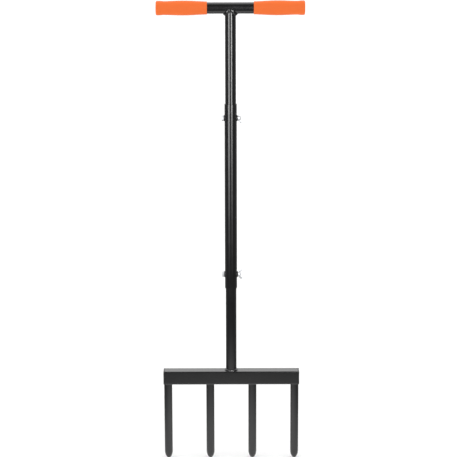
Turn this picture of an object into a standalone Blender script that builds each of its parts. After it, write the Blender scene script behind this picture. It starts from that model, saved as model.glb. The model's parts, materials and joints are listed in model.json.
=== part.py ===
"""A hand lawn aerator: a bolted three-piece pole with a T handle above a foot bar with four solid tines.

The tine tips stand on z = 0 and the pole's axis is the Z axis. The handle, the foot bar and the
row of tines lie along X. All sizes are in metres.
"""

import math

import bmesh
import bpy
from mathutils import Vector

MM = 0.001
GAP = 0.3 * MM
ALONG_X = (0, math.pi / 2, 0)

# Tines
TINE_COUNT = 4
TINE_PITCH = 88.4 * MM
TINE_RADIUS = 8.5 * MM
TINE_LENGTH = 164 * MM
TINE_NOSE = 16.5 * MM

# Foot bar, a square tube with a plug in each end
BAR_LENGTH = 284.5 * MM
BAR_SIDE = 28.5 * MM
BAR_WALL = 2 * MM
BAR_CORNER = 2.5 * MM
BAR_BOTTOM = TINE_LENGTH + GAP
BAR_TOP = BAR_BOTTOM + BAR_SIDE
CAP_FLANGE = 2.5 * MM
CAP_EDGE = 1 * MM
CAP_EDGE_STEP = 0.3 * MM
CAP_FACE_CORNER = 2 * MM
CAP_PLUG_LENGTH = 14 * MM
CAP_PLUG_WALL = 1.8 * MM
CAP_FIN_HEIGHT = 0.9 * MM
CAP_FIN_COUNT = 2

# Pole
TUBE_RADIUS = 11 * MM
TUBE_WALL = 1.5 * MM
MIDDLE_RADIUS = 12.5 * MM
MIDDLE_WALL = MIDDLE_RADIUS - TUBE_RADIUS - GAP
MIDDLE_BOTTOM = 370 * MM
MIDDLE_TOP = 754 * MM
BOLT_INSET = 29 * MM
TUBE_OVERLAP = 58 * MM
BOLT_HEIGHTS = {"lower": MIDDLE_BOTTOM + BOLT_INSET, "upper": MIDDLE_TOP - BOLT_INSET}

# Handle
CROSS_RADIUS = 11.5 * MM
CROSS_WALL = 1.5 * MM
CROSS_HEIGHT = 948 * MM
HANDLE_LENGTH = 300 * MM
GRIP_LENGTH = 103 * MM
GRIP_END_WALL = 3 * MM
GRIP_INNER_RADIUS = 13.05 * MM
GRIP_NECK_RADIUS = 13.8 * MM
GRIP_NECK_AT = 87 * MM
GRIP_SWELL = 1.4 * MM
GRIP_SWELL_FROM = 3 * MM
GRIP_FULLNESS = 1.5
GRIP_LIP_RADIUS = 14.5 * MM
GRIP_LIP_AT = 96 * MM
GRIP_END_ROUND = 3 * MM
GRIP_EDGE_ROUND = 0.8 * MM

# M6 bolts, their wing nuts and saddle washers
BOLT_RADIUS = 2.9 * MM
HOLE_RADIUS = BOLT_RADIUS + GAP
BOLT_LENGTH = 35 * MM
HEAD_ACROSS_FLATS = 10 * MM
HEAD_HEIGHT = 4 * MM
HEAD_CHAMFER = 0.7 * MM
HEAD_FACE_RADIUS = 4.8 * MM
SADDLE_RADIUS = 6.3 * MM
SADDLE_BLANK_FROM = 6 * MM
SADDLE_FACE = 13.9 * MM
SADDLE_EDGE = 0.8 * MM
SEAT = SADDLE_FACE + GAP
BOSS_HEIGHT = 5.4 * MM
BOSS_BASE_RADIUS = 5.2 * MM
BOSS_TOP_RADIUS = 4.3 * MM
BOSS_EDGE = 0.4 * MM
WING_ROOT = (2.9 * MM, 2.9 * MM)
WING_TIP = (9.3 * MM, 9.2 * MM)
WING_BEND = 1.1 * MM
WING_ROOT_WIDTH = 2.6 * MM
WING_NECK_WIDTH = 1.9 * MM
WING_TIP_WIDTH = 2.5 * MM
WING_ROOT_THICKNESS = 1.5 * MM
WING_TIP_THICKNESS = 0.95 * MM
WING_STEPS = 8
WING_NECK_AT = 0.45
WING_ROUND_FROM = 0.62
WING_BLUNT = 0.02
WING_CORNER = 0.55

# Weld beads: how far each reaches along its two parts, and how far its face bulges
HANDLE_REACH = 4 * MM
HANDLE_FLUSH_REACH = 3.2 * MM
HANDLE_DROP = 4.2 * MM
HANDLE_FLUSH_DROP = 5.2 * MM
HANDLE_CROWN = 0.5 * MM
HANDLE_FLUSH_CROWN = 1.5 * MM
POLE_REACH = 3 * MM
POLE_FRONT_REACH = 2.6 * MM
POLE_RISE = 3.4 * MM
POLE_CROWN = 0.6 * MM
TINE_REACH = 2.5 * MM
TINE_CROWN = 0.4 * MM
END_BEAD_REACH = math.radians(122)
END_BEAD_TAPER = 0.6
SEAT_SHARES = (0, 0.5, 1)
CROWN_SHARES = (0.25, 0.5, 0.75)

# Facets
MERGE_DISTANCE = 0.0001 * MM
POLE_STEPS = 48
WELD_STEPS = 48
GRIP_STEPS = 32
GRIP_STATIONS = 16
TINE_STEPS = 24
NOSE_STEPS = 7
SMALL_STEPS = 24
EDGE_STEPS = 3
GRIP_END_STEPS = 4
WING_CORNER_STEPS = 2
SHARP_ANGLE = math.radians(35)

BLACK_COAT = ("black powder coat", (0.018, 0.018, 0.019), 0.38, 0.0)
ORANGE_GRIP = ("orange soft grip", (1.0, 0.195, 0.047), 0.6, 0.0)
BLACK_PLASTIC = ("black moulded plastic", (0.014, 0.014, 0.015), 0.5, 0.0)
ZINC = ("bright zinc plate", (0.72, 0.73, 0.75), 0.3, 1.0)


def clear_scene():
    for obj in list(bpy.data.objects):
        bpy.data.objects.remove(obj, do_unlink=True)


def finish(spec):
    """The material of that name, made once."""
    name, color, roughness, metallic = spec
    material = bpy.data.materials.get(name)
    if material:
        return material
    material = bpy.data.materials.new(name)
    material.use_nodes = True
    material.diffuse_color = (*color, 1)
    shader = material.node_tree.nodes["Principled BSDF"]
    shader.inputs["Base Color"].default_value = (*color, 1)
    shader.inputs["Roughness"].default_value = roughness
    shader.inputs["Metallic"].default_value = metallic
    return material


def add_object(name, mesh, spec=None, location=(0, 0, 0), rotation=(0, 0, 0)):
    obj = bpy.data.objects.new(name, mesh)
    bpy.context.scene.collection.objects.link(obj)
    obj.location = location
    obj.rotation_euler = rotation
    mesh.shade_smooth()
    mesh.set_sharp_from_angle(angle=SHARP_ANGLE)
    if spec and not mesh.materials:
        mesh.materials.append(finish(spec))
    return obj


def add_cutter(name, mesh, location=(0, 0, 0), rotation=(0, 0, 0)):
    """A helper shape that only a Boolean reads."""
    cutter = add_object(name, mesh, None, location, rotation)
    cutter.hide_render = True
    cutter.display_type = "WIRE"
    return cutter


def add_boolean(obj, operand, operation="DIFFERENCE"):
    modifier = obj.modifiers.new(operand.name, "BOOLEAN")
    modifier.operation = operation
    modifier.solver = "EXACT"
    modifier.object = operand


def mesh_from(name, bm):
    bmesh.ops.remove_doubles(bm, verts=bm.verts, dist=MERGE_DISTANCE)
    bmesh.ops.recalc_face_normals(bm, faces=bm.faces)
    mesh = bpy.data.meshes.new(name)
    bm.to_mesh(mesh)
    bm.free()
    return mesh


def turned(name, profile, steps, closed=False):
    """A solid turned about Z from (radius, height) points. A closed profile makes a ring."""
    bm = bmesh.new()
    verts = [bm.verts.new((radius, 0, height)) for radius, height in profile]
    edges = [bm.edges.new(pair) for pair in zip(verts, verts[1:])]
    if closed:
        edges.append(bm.edges.new((verts[-1], verts[0])))
    bmesh.ops.spin(
        bm, geom=verts + edges, axis=(0, 0, 1), cent=(0, 0, 0), dvec=(0, 0, 0),
        angle=math.tau, steps=steps, use_merge=True, use_duplicate=False,
    )
    return mesh_from(name, bm)


def lofted(name, rings, cyclic=False):
    """A closed skin over rings of equal count. Its ends are faces, or it comes round to its start."""
    bm = bmesh.new()
    loops = [[bm.verts.new(point) for point in ring] for ring in rings]
    following = loops[1:] + loops[:1] if cyclic else loops[1:]
    for low, high in zip(loops, following):
        for i in range(len(low)):
            j = (i + 1) % len(low)
            bm.faces.new((low[i], low[j], high[j], high[i]))
    if not cyclic:
        bm.faces.new(loops[0])
        bm.faces.new(loops[-1])
    return mesh_from(name, bm)


def cylinder(name, radius, low, high, steps=POLE_STEPS):
    return turned(name, [(0, low), (radius, low), (radius, high), (0, high)], steps)


def tube(name, radius, wall, low, high):
    inner = radius - wall
    return turned(name, [(radius, low), (radius, high), (inner, high), (inner, low)], POLE_STEPS, True)


def arc(center, radius, start, end, steps):
    """Points on an arc in a plane, from one angle to another."""
    turn = (end - start) / steps
    return [
        (center[0] + radius * math.cos(start + turn * i), center[1] + radius * math.sin(start + turn * i))
        for i in range(steps + 1)
    ]


def rounded_square(half, corner, steps=EDGE_STEPS):
    points = []
    for quarter in range(4):
        start = quarter * math.pi / 2
        middle = start + math.pi / 4
        reach = (half - corner) * math.sqrt(2)
        center = (reach * math.cos(middle), reach * math.sin(middle))
        points += arc(center, corner, start, start + math.pi / 2, steps)
    return points


def square_ring(x, half, corner):
    """A rounded square across X, on the foot bar's centre line."""
    center = (BAR_BOTTOM + BAR_TOP) / 2
    return [(x, y, center + z) for y, z in rounded_square(half, corner)]


def between(first, second, share):
    return first + (second - first) * share


def bead_section(seat, top, outward, crown):
    """A weld's section: along one part from the corner to the toe, then back over a crowned face."""
    toe = seat[-1]
    face = [toe.lerp(top, share) + outward * (4 * crown * share * (1 - share)) for share in CROWN_SHARES]
    return seat + face + [top]


def make_tines():
    """Round solid bars with a bullet nose, each with its weld to the foot bar."""
    nose = [
        (TINE_RADIUS * math.sin(angle), TINE_NOSE * (1 - math.cos(angle)))
        for angle in (math.pi / 2 * i / NOSE_STEPS for i in range(NOSE_STEPS + 1))
    ]
    mesh = turned("tine", nose + [(TINE_RADIUS, TINE_LENGTH), (0, TINE_LENGTH)], TINE_STEPS)
    for number in range(1, TINE_COUNT + 1):
        x = (number - (TINE_COUNT + 1) / 2) * TINE_PITCH
        add_object(f"tine_{number}", mesh, BLACK_COAT, (x, 0, 0))
        make_tine_weld(number, x)


def make_tine_weld(number, x):
    """A fillet round the tine's top. It stops short on the side where the bar ends."""
    at_end = number in (1, TINE_COUNT)
    inward = 0 if x < 0 else math.pi
    turn = END_BEAD_REACH if at_end else math.pi
    steps = round(TINE_STEPS * turn / math.pi)
    sections = []
    for i in range(steps + at_end):
        angle = inward - turn + 2 * turn * i / steps
        out = Vector((math.cos(angle), math.sin(angle), 0))
        corner = out * (TINE_RADIUS + GAP) + Vector((0, 0, BAR_BOTTOM - GAP))
        reach = TINE_REACH * (END_BEAD_TAPER if at_end and i in (0, steps) else 1)
        top = corner - Vector((0, 0, reach))
        outward = (out - Vector((0, 0, 1))).normalized()
        sections.append(bead_section([corner, corner + out * reach], top, outward, TINE_CROWN))
    mesh = lofted(f"tine weld {number}", sections, not at_end)
    add_object(f"tine_weld_{number}", mesh, BLACK_COAT, (x, 0, 0))


def make_foot_bar():
    """Square steel tube, open at both ends."""
    half = BAR_SIDE / 2
    end = BAR_LENGTH / 2 - CAP_FLANGE - GAP
    outside = [square_ring(x, half, BAR_CORNER) for x in (-end, end)]
    inside = [square_ring(x, half - BAR_WALL, BAR_CORNER - BAR_WALL) for x in (end, -end)]
    add_object("foot_bar", lofted("foot bar", outside + inside, True), BLACK_COAT)


def make_end_caps():
    """Hollow ribbed plugs whose flange covers the tube's end."""
    half = BAR_SIDE / 2
    face = BAR_LENGTH / 2
    seat = face - CAP_FLANGE
    fin = half - BAR_WALL - GAP
    body = fin - CAP_FIN_HEIGHT
    stations = [
        (face, half - CAP_EDGE, CAP_FACE_CORNER),
        (face - CAP_EDGE_STEP, half - CAP_EDGE_STEP, BAR_CORNER),
        (face - CAP_EDGE, half, BAR_CORNER),
        (seat, half, BAR_CORNER),
        (seat, body, CAP_EDGE),
    ]
    spacing = CAP_PLUG_LENGTH / (CAP_FIN_COUNT + 0.5)
    for number in range(CAP_FIN_COUNT):
        root = seat - spacing * (number + 0.5)
        tip = root - spacing / 2
        stations += [(root, body, CAP_EDGE), (tip, fin, CAP_EDGE), (tip, body, CAP_EDGE)]
    end = seat - CAP_PLUG_LENGTH
    pocket = body - CAP_PLUG_WALL
    stations += [(end, body, CAP_EDGE), (end, pocket, CAP_EDGE), (seat, pocket, CAP_EDGE)]
    for name, side in (("left_end_cap", -1), ("right_end_cap", 1)):
        rings = [square_ring(side * x, reach, corner) for x, reach, corner in stations]
        add_object(name, lofted(name, rings), BLACK_PLASTIC)


def make_pole(bolt_holes, cross_cutter):
    """Two slimmer tubes pushed into the ends of a wider one. The upper one is coped to the cross tube."""
    mesh = tube("middle tube", MIDDLE_RADIUS, MIDDLE_WALL, MIDDLE_BOTTOM, MIDDLE_TOP)
    middle = add_object("middle_tube", mesh, BLACK_COAT)
    mesh = tube("lower tube", TUBE_RADIUS, TUBE_WALL, BAR_TOP + GAP, MIDDLE_BOTTOM + TUBE_OVERLAP)
    lower = add_object("lower_tube", mesh, BLACK_COAT)
    mesh = tube("upper tube", TUBE_RADIUS, TUBE_WALL, MIDDLE_TOP - TUBE_OVERLAP, CROSS_HEIGHT)
    upper = add_object("upper_tube", mesh, BLACK_COAT)
    add_boolean(upper, cross_cutter)
    for obj, places in ((middle, ("lower", "upper")), (lower, ("lower",)), (upper, ("upper",))):
        for place in places:
            add_boolean(obj, bolt_holes[place])


def make_pole_weld():
    """The fillet from the pole to the foot bar. In front and behind it runs over the bar's rounded edge."""
    stem = TUBE_RADIUS + GAP
    edge = BAR_SIDE / 2 - BAR_CORNER
    edge_radius = BAR_CORNER + GAP
    sections = []
    for i in range(WELD_STEPS):
        angle = math.tau * i / WELD_STEPS
        out = Vector((math.cos(angle), math.sin(angle), 0))
        reach = between(POLE_REACH, POLE_FRONT_REACH, out.y**2)
        seat = []
        for share in SEAT_SHARES:
            point = out * (stem + reach * share)
            turn = max(abs(point.y) - edge, 0) / edge_radius
            if turn:
                point.y = math.copysign(edge + edge_radius * math.sin(turn), point.y)
            point.z = BAR_TOP - BAR_CORNER + edge_radius * math.cos(turn)
            seat.append(point)
        top = seat[0] + Vector((0, 0, POLE_RISE))
        outward = (out + Vector((0, 0, 1))).normalized()
        sections.append(bead_section(seat, top, outward, POLE_CROWN))
    add_object("pole_weld", lofted("pole weld", sections, True), BLACK_COAT)


def make_cross_tube():
    """The handle's bar. Returns a slightly larger solid rod that cuts its neighbours."""
    end = HANDLE_LENGTH / 2 - GRIP_END_WALL - GAP
    place = (0, 0, CROSS_HEIGHT)
    mesh = tube("cross tube", CROSS_RADIUS, CROSS_WALL, -end, end)
    add_object("cross_tube", mesh, BLACK_COAT, place, ALONG_X)
    rod = cylinder("cross cutter", CROSS_RADIUS + GAP, -GRIP_LENGTH, GRIP_LENGTH)
    return add_cutter("cross cutter", rod, place, ALONG_X)


def make_handle_weld():
    """The fillet along the pole's saddle curve on the cross tube, fullest where the two are flush."""
    stem = TUBE_RADIUS + GAP
    rod = CROSS_RADIUS + GAP
    sections = []
    for i in range(WELD_STEPS):
        angle = math.tau * i / WELD_STEPS
        out = Vector((math.cos(angle), math.sin(angle), 0))
        flush = out.y**2
        around = math.asin(stem * out.y / rod)
        away = Vector((out.x / math.cos(around), out.y)).normalized()
        reach = between(HANDLE_REACH, HANDLE_FLUSH_REACH, flush)
        seat = []
        for share in SEAT_SHARES:
            x = stem * out.x + away.x * reach * share
            turn = around + away.y * reach * share / rod
            seat.append(Vector((x, rod * math.sin(turn), CROSS_HEIGHT - rod * math.cos(turn))))
        top = seat[0] - Vector((0, 0, between(HANDLE_DROP, HANDLE_FLUSH_DROP, flush)))
        normal = Vector((0, math.sin(around), -math.cos(around)))
        crown = between(HANDLE_CROWN, HANDLE_FLUSH_CROWN, flush)
        sections.append(bead_section(seat, top, (out + normal).normalized(), crown))
    add_object("handle_weld", lofted("handle weld", sections, True), BLACK_COAT)


def grip_radius(along):
    """The moulded barrel: its radius at a distance from the grip's inner end."""
    slope = (GRIP_NECK_RADIUS - GRIP_INNER_RADIUS) / GRIP_NECK_AT
    radius = GRIP_INNER_RADIUS + slope * min(along, GRIP_NECK_AT)
    swell = (along - GRIP_SWELL_FROM) / (GRIP_NECK_AT - GRIP_SWELL_FROM)
    if 0 < swell < 1:
        radius += GRIP_SWELL * math.sin(math.pi * swell) ** GRIP_FULLNESS
    flare = min(max((along - GRIP_NECK_AT) / (GRIP_LIP_AT - GRIP_NECK_AT), 0), 1)
    return radius + (GRIP_LIP_RADIUS - GRIP_NECK_RADIUS) * flare**2 * (3 - 2 * flare)


def make_grips():
    """Soft sleeves with a swelling for the palm, a lip and a closed outer end."""
    bore = CROSS_RADIUS + GAP
    edge_center = (GRIP_INNER_RADIUS - GRIP_EDGE_ROUND, GRIP_EDGE_ROUND)
    edge = arc(edge_center, GRIP_EDGE_ROUND, -math.pi / 2, 0, EDGE_STEPS)
    barrel_to = GRIP_LENGTH - GRIP_END_ROUND
    barrel = [barrel_to * (i + 1) / (GRIP_STATIONS + 1) for i in range(GRIP_STATIONS)]
    end_center = (GRIP_LIP_RADIUS - GRIP_END_ROUND, barrel_to)
    end = arc(end_center, GRIP_END_ROUND, 0, math.pi / 2, GRIP_END_STEPS)
    profile = [(0, GRIP_LENGTH - GRIP_END_WALL), (bore, GRIP_LENGTH - GRIP_END_WALL), (bore, 0)]
    profile += edge
    profile += [(grip_radius(along), along) for along in barrel]
    profile += end + [(0, GRIP_LENGTH)]
    mesh = turned("grip", profile, GRIP_STEPS)
    start = HANDLE_LENGTH / 2 - GRIP_LENGTH
    for name, side in (("left_grip", -1), ("right_grip", 1)):
        add_object(name, mesh, ORANGE_GRIP, (side * start, 0, CROSS_HEIGHT), (0, side * math.pi / 2, 0))


def make_bolt_holes():
    """Cutters for the holes across the pole, by their bolt's name."""
    holes = {}
    for place, height in BOLT_HEIGHTS.items():
        mesh = cylinder(f"{place} bolt hole", HOLE_RADIUS, -2 * SEAT, 2 * SEAT, SMALL_STEPS)
        holes[place] = add_cutter(f"{place} bolt hole", mesh, (0, 0, height), ALONG_X)
    return holes


def make_bolts():
    """Hexagon bolts from the left, each with its head against the left washer."""
    corner = HEAD_ACROSS_FLATS / 2 / math.cos(math.pi / 6)
    face = -SEAT - HEAD_HEIGHT
    chamfer = [(0, face), (HEAD_FACE_RADIUS, face), (corner, face + HEAD_CHAMFER)]
    blank = turned("head blank", chamfer + [(corner, -SEAT), (0, -SEAT)], SMALL_STEPS)
    hexagon = turned("bolt head", [(0, face), (corner, face), (corner, -SEAT), (0, -SEAT)], 6)
    root = -SEAT - HEAD_HEIGHT / 2
    end = BOLT_LENGTH - SEAT
    tip = BOLT_RADIUS - HEAD_CHAMFER
    profile = [(0, root), (BOLT_RADIUS, root), (BOLT_RADIUS, end - HEAD_CHAMFER), (tip, end), (0, end)]
    shank = turned("shank", profile, SMALL_STEPS)
    for place, height in BOLT_HEIGHTS.items():
        at = (0, 0, height)
        bolt = add_object(f"{place}_bolt", hexagon.copy(), ZINC, at, ALONG_X)
        add_boolean(bolt, add_cutter(f"{place} head blank", blank, at, ALONG_X), "INTERSECT")
        add_boolean(bolt, add_cutter(f"{place} shank", shank, at, ALONG_X), "UNION")


def make_saddle_washers(bolt_holes):
    """Round plastic washers, flat outside and hollowed to sit on the middle tube."""
    profile = [
        (0, SADDLE_FACE), (SADDLE_RADIUS - SADDLE_EDGE, SADDLE_FACE),
        (SADDLE_RADIUS, SADDLE_FACE - SADDLE_EDGE), (SADDLE_RADIUS, SADDLE_BLANK_FROM),
        (0, SADDLE_BLANK_FROM),
    ]
    blank = turned("saddle washer", profile, SMALL_STEPS)
    body = cylinder("saddle cutter", MIDDLE_RADIUS + GAP, MIDDLE_BOTTOM, MIDDLE_TOP)
    seat = add_cutter("saddle cutter", body)
    for place, height in BOLT_HEIGHTS.items():
        for side, sign in (("left", -1), ("right", 1)):
            name = f"{place}_{side}_saddle_washer"
            washer = add_object(name, blank, BLACK_PLASTIC, (0, 0, height), (0, sign * math.pi / 2, 0))
            add_boolean(washer, seat)
            add_boolean(washer, bolt_holes[place])


def wing_mesh(name, side):
    """One ear of the nut: rounded sections along a bent line, thick at the boss and like a paddle above."""
    root = Vector(WING_ROOT)
    tip = Vector(WING_TIP)
    along = (tip - root).normalized()
    across = Vector((-along.y, along.x))
    rings = []
    for i in range(WING_STEPS + 1):
        share = math.sin(math.pi / 2 * i / WING_STEPS)
        center = between(root, tip, share) - across * WING_BEND * math.sin(math.pi * share)
        narrowing = math.sin(math.pi / 2 * min(share / WING_NECK_AT, 1))
        width = between(WING_ROOT_WIDTH, WING_NECK_WIDTH, narrowing)
        width += (WING_TIP_WIDTH - WING_NECK_WIDTH) * max(2 * share - 1, 0)
        rounding = max((share - WING_ROUND_FROM) / (1 - WING_ROUND_FROM), 0)
        closing = math.sqrt(max(1 - rounding**2, WING_BLUNT))
        thickness = between(WING_ROOT_THICKNESS, WING_TIP_THICKNESS, share) * (1 + closing) / 2
        ring = []
        for u, v in rounded_square(1, WING_CORNER, WING_CORNER_STEPS):
            point = center + across * (u * width * closing)
            ring.append((side * point.x, v * thickness, point.y))
        rings.append(ring)
    return lofted(name, rings)


def make_wing_nuts():
    """A turned boss with two forged ears, threaded from the right against its washer."""
    profile = [
        (0, 0), (BOSS_BASE_RADIUS - BOSS_EDGE, 0), (BOSS_BASE_RADIUS, BOSS_EDGE),
        (BOSS_TOP_RADIUS, BOSS_HEIGHT - BOSS_EDGE), (BOSS_TOP_RADIUS - BOSS_EDGE, BOSS_HEIGHT),
        (0, BOSS_HEIGHT),
    ]
    boss = turned("wing nut", profile, SMALL_STEPS)
    bore = cylinder("nut bore", HOLE_RADIUS, -BOSS_HEIGHT, 2 * BOSS_HEIGHT, SMALL_STEPS)
    ears = {side: wing_mesh(f"wing {side}", side) for side in (-1, 1)}
    for place, height in BOLT_HEIGHTS.items():
        at = (SEAT, 0, height)
        nut = add_object(f"{place}_wing_nut", boss, ZINC, at, ALONG_X)
        for side, ear in ears.items():
            add_boolean(nut, add_cutter(f"{place} wing {side}", ear, at, ALONG_X), "UNION")
        add_boolean(nut, add_cutter(f"{place} nut bore", bore, at, ALONG_X))


def main():
    clear_scene()
    make_foot_bar()
    make_end_caps()
    make_tines()
    bolt_holes = make_bolt_holes()
    make_pole(bolt_holes, make_cross_tube())
    make_pole_weld()
    make_handle_weld()
    make_grips()
    make_bolts()
    make_saddle_washers(bolt_holes)
    make_wing_nuts()


main()
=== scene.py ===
"""The looks of a hand lawn aerator, built round its packed frame.

Each operator makes one group of pieces, finer than the solids that they stand for, and the stage
operator sets the floor, the lights and the camera. All sizes are in metres.
"""
import json
from functools import partial
from math import asin, copysign, cos, hypot, pi, radians, sin, sqrt, tan, tau

import bmesh
import bpy
from mathutils import Matrix, Vector


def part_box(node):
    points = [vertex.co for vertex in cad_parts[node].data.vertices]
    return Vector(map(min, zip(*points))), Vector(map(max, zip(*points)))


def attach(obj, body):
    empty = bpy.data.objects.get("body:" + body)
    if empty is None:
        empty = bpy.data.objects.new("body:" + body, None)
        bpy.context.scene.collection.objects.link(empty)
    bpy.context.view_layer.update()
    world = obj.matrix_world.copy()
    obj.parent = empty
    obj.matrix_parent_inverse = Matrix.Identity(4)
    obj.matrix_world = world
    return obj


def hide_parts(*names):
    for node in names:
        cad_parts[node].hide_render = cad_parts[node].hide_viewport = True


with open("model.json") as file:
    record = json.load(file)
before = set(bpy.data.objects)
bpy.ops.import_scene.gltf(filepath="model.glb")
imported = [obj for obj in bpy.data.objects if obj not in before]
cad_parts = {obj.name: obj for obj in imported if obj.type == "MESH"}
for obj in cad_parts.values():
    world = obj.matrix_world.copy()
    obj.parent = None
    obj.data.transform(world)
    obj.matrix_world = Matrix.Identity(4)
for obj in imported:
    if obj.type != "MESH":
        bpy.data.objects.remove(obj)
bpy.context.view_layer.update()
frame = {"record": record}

bl_info = {
    "name": "Lawn aerator",
    "version": (1, 0, 0),
    "blender": (4, 5, 0),
    "location": "3D View > Sidebar > Aerator",
    "description": "Builds the visible pieces of a hand lawn aerator and its stage",
    "category": "Add Mesh",
}

MM = 0.001
MERGE = 0.01 * MM  # points nearer than this become one
SINK = 0.05 * MM  # skins that meet overlap by this much, so that no slit shows
SHARP_ANGLE = radians(32)

RECORD = frame["record"]
BODY_OF = {node: body for body, nodes in RECORD["behaviour"]["bodies"].items() for node in nodes}
SLOT_OF = {part["node"]: part["material_slot"] for part in RECORD["subparts"]}

BAR_LOW, BAR_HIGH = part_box("foot_bar")
CAP_LOW, CAP_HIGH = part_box("right_end_cap")
TINE_LOW, TINE_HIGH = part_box("tine_4")
LOWER_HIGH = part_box("lower_tube")[1]
MIDDLE_LOW, MIDDLE_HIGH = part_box("middle_tube")
UPPER_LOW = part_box("upper_tube")[0]
CROSS_LOW, CROSS_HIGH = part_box("cross_tube")
GRIP_LOW, GRIP_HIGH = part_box("right_grip")

BAR_HALF = (BAR_HIGH.z - BAR_LOW.z) / 2
BAR_MIDDLE = (BAR_HIGH.z + BAR_LOW.z) / 2
BAR_CORNER = 2.5 * MM
CAP_FLANGE = 2.5 * MM
TINE_COUNT = sum(node.startswith("tine_") and "weld" not in node for node in BODY_OF)
TINE_RADIUS = (TINE_HIGH.x - TINE_LOW.x) / 2
TINE_LAST = (TINE_HIGH.x + TINE_LOW.x) / 2
TINE_PITCH = 2 * TINE_LAST / (TINE_COUNT - 1)
TUBE_RADIUS = LOWER_HIGH.x
MIDDLE_RADIUS = MIDDLE_HIGH.x
CROSS_RADIUS = (CROSS_HIGH.z - CROSS_LOW.z) / 2
CROSS_HEIGHT = (CROSS_HIGH.z + CROSS_LOW.z) / 2
BOLT_HEIGHTS = {
    place: sum(corner.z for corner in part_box(f"{place}_bolt")) / 2 for place in ("lower", "upper")
}
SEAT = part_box("upper_wing_nut")[0].x
BOLT_START, BOLT_END = (corner.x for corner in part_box("upper_bolt"))
BOLT_RADIUS = 2.9 * MM
HOLE_RADIUS = 3.2 * MM
SIDES = {"left": -1, "right": 1}

TUBE_SEGMENTS = 96
SMALL_SEGMENTS = 72
BOLT_SEGMENTS = 96
ARC_STEPS = 6


def linear(hex_color):
    """The linear RGB of an sRGB hex color."""
    channels = [int(hex_color[i:i + 2], 16) / 255 for i in (1, 3, 5)]
    return tuple(c / 12.92 if c <= 0.04045 else ((c + 0.055) / 1.055) ** 2.4 for c in channels)


def metres(name, description, default):
    return bpy.props.FloatProperty(
        name=name, description=description, default=default, min=0.0, precision=5,
        unit="LENGTH", subtype="DISTANCE",
    )


def hex_color(name, description, default):
    return bpy.props.FloatVectorProperty(
        name=name, description=description, default=linear(default), size=3, min=0.0, max=1.0, subtype="COLOR"
    )


def plain(name, description, default, highest=100.0):
    return bpy.props.FloatProperty(name=name, description=description, default=default, min=0.0, max=highest)


def degrees(name, description, default):
    return bpy.props.FloatProperty(
        name=name, description=description, default=radians(default), unit="ROTATION", subtype="ANGLE"
    )


class AERATOR_PG_steel(bpy.types.PropertyGroup):
    """Sizes of the coated steelwork."""
    tube_wall: metres("Tube wall", "Wall of the pole's end tubes and the cross tube", 1.5 * MM)
    middle_wall: metres("Middle tube wall", "Wall of the wider middle tube", 1.2 * MM)
    bar_wall: metres("Bar wall", "Wall of the square foot bar", 2 * MM)
    rim: metres("Rim rounding", "Rounding of a tube's cut end", 0.3 * MM)
    tine_nose: metres("Tine nose", "Length of a tine's rounded nose", 16.5 * MM)
    ripple_pitch: metres("Ripple pitch", "Distance between a weld's ripples", 3.4 * MM)
    ripple_height: metres("Ripple height", "Height of a weld's ripples", 0.2 * MM)
    lump_height: metres("Lump height", "How far a weld strays from an even bead", 1 * MM)


class AERATOR_PG_fittings(bpy.types.PropertyGroup):
    """Sizes of the grips, caps and fasteners."""
    grip_swell: metres("Grip swell", "How far the grip swells for the palm", 1.4 * MM)
    cap_edge: metres("Cap edge", "Rounding of an end cap's outer edge", 1 * MM)
    cap_crown: metres("Cap crown", "How far an end cap's face is domed", 0.25 * MM)
    thread_pitch: metres("Thread pitch", "Advance of the M6 thread in one turn", 1 * MM)
    thread_depth: metres("Thread depth", "Depth of the M6 thread", 0.55 * MM)
    thread_clearance: metres("Thread clearance", "Room between the nut's and the bolt's thread", 0.1 * MM)


class AERATOR_PG_finishes(bpy.types.PropertyGroup):
    """Colors of the finishes and the size of their texture."""
    # real grain is about 0.1 mm wide, which is too fine to show, so the grips' and the plastic's is coarser
    coat: hex_color("Powder coat", "Color of the coated steel", "#171718")
    peel: metres("Orange peel", "Width of the waves in the powder coat", 1.6 * MM)
    grip: hex_color("Grip", "Color of the soft grips", "#ff7834")
    grip_grain: metres("Grip grain", "Width of the grain of the soft grips", 0.6 * MM)
    plastic: hex_color("Plastic", "Color of the caps and saddle washers", "#242424")
    plastic_grain: metres("Plastic grain", "Width of the grain of the moulded plastic", 0.5 * MM)
    zinc: hex_color("Zinc", "Color of the plated bolts and nuts", "#dcdee1")
    zinc_spangle: metres("Zinc spangle", "Width of the patches in the zinc plate", 0.9 * MM)


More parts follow.
